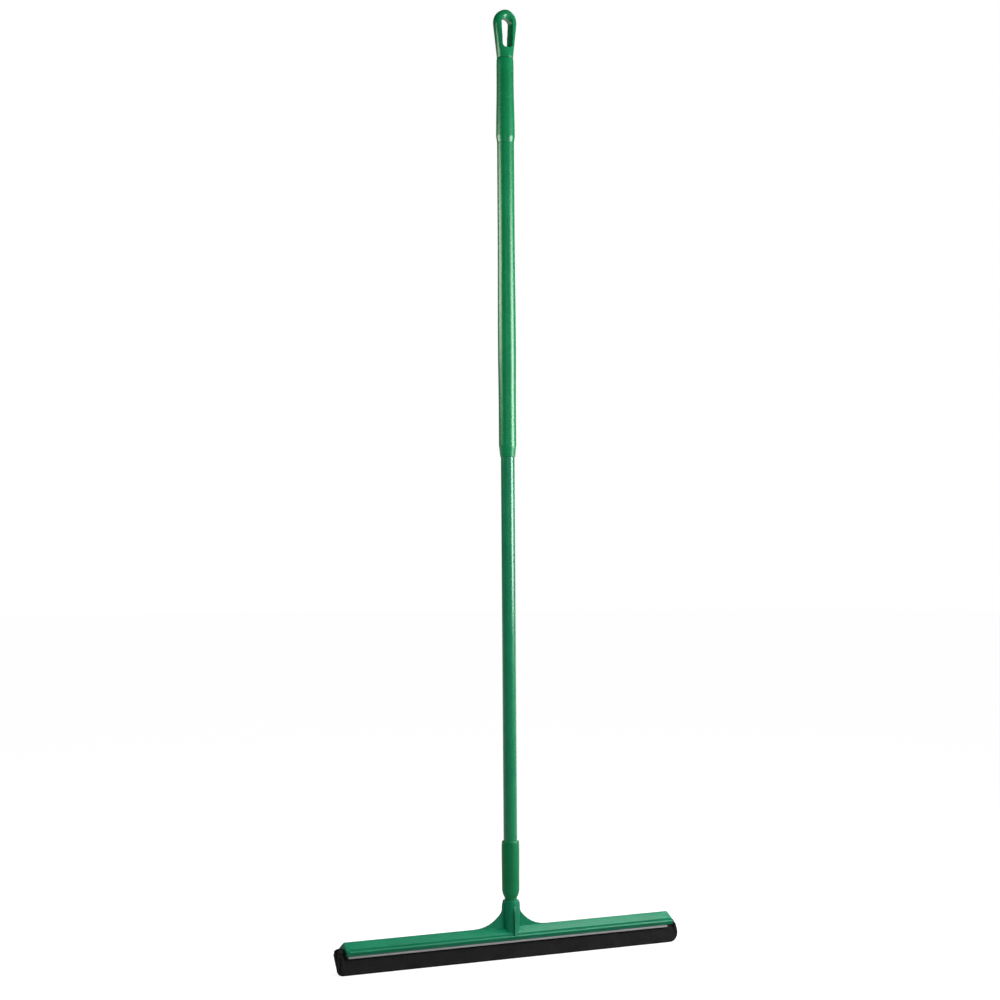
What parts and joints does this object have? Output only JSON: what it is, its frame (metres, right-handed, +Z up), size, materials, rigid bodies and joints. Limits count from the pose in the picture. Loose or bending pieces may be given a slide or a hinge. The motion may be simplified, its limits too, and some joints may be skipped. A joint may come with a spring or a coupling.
{
  "type": "floor squeegee",
  "caption": "Long-handled floor squeegee: straight coated pole with hand grips and a hanging loop, screwed into a wide blade holder with a double sponge rubber blade.",
  "frame": {"origin": "under the pole's axis, in the plane of the blades' lower edges", "axes": "+Z up along the pole, X along the blades, -Y towards the front"},
  "size_m": [0.6048, 0.0342, 1.5162],
  "materials": {
    "gloss_green": "moulded, glossy",
    "coated_green": "powder coated aluminium",
    "satin_green": "moulded, satin",
    "grey_plastic": "extruded, satin",
    "sponge_rubber": "closed-cell sponge, matte"
  },
  "bodies": {
    "handle": {"hang_loop": "gloss_green", "hand_grip": "gloss_green", "grip_sleeve": "gloss_green", "pole_tube": "coated_green"},
    "screw": {"thread_end": "satin_green"},
    "head": {"blade_holder": "satin_green"},
    "cartridge": {"cassette": "grey_plastic", "front_blade": "sponge_rubber", "back_blade": "sponge_rubber"}
  },
  "joints": [
    {"name": "screw_turn", "type": "hinge", "parent": "handle", "child": "screw", "pos_m": [0, 0, 0.1], "axis": [0, 0, -1], "range_deg": [0, 2610]},
    {"name": "screw_travel", "type": "slide", "parent": "screw", "child": "head", "axis": [0, 0, -1], "range_m": [0, 0.0363]},
    {"name": "cassette_slide", "type": "slide", "parent": "head", "child": "cartridge", "axis": [1, 0, 0], "range_m": [0, 0.5]}
  ],
  "couplings": [
    {"joint": "screw_travel", "follows": "screw_turn", "m_per_rad": 0.00079577}
  ]
}
